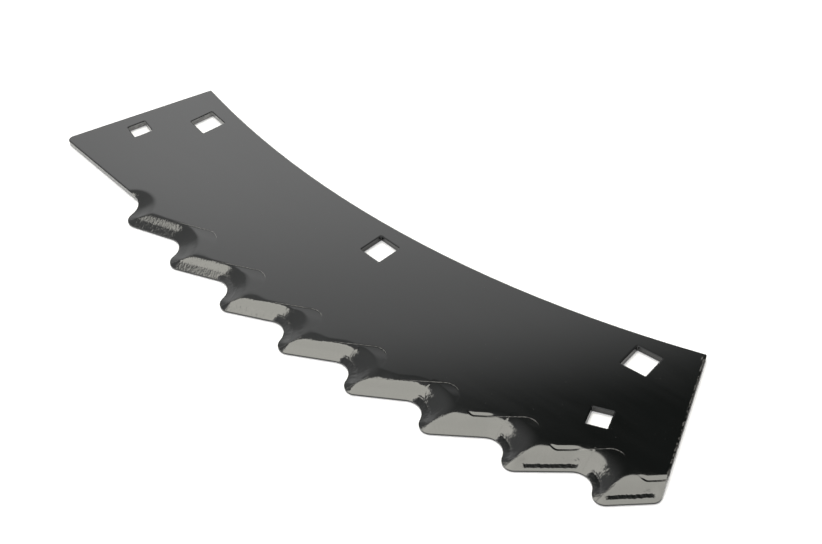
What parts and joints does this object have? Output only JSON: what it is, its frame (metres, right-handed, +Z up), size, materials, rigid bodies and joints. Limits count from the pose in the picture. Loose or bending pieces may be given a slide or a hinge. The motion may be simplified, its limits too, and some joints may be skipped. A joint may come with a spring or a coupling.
{
  "type": "forage harvester knife",
  "caption": "Flat segment of a rotary forage cutter: concave back, square bolt holes and a saw-toothed outer edge with a bevel ground from one side.",
  "frame": {"origin": "centre of the knife's bounding box, on its flat underside", "axes": "+X along the length towards the last tooth, +Y towards the concave back edge, +Z up out of the bevelled face; the teeth point to -Y"},
  "size_m": [0.3824, 0.1144, 0.003],
  "materials": {
    "black_paint": "gloss black paint over hardened steel, rippled on the ground bevels"
  },
  "bodies": {
    "root": {"knife": "black_paint"}
  },
  "joints": []
}
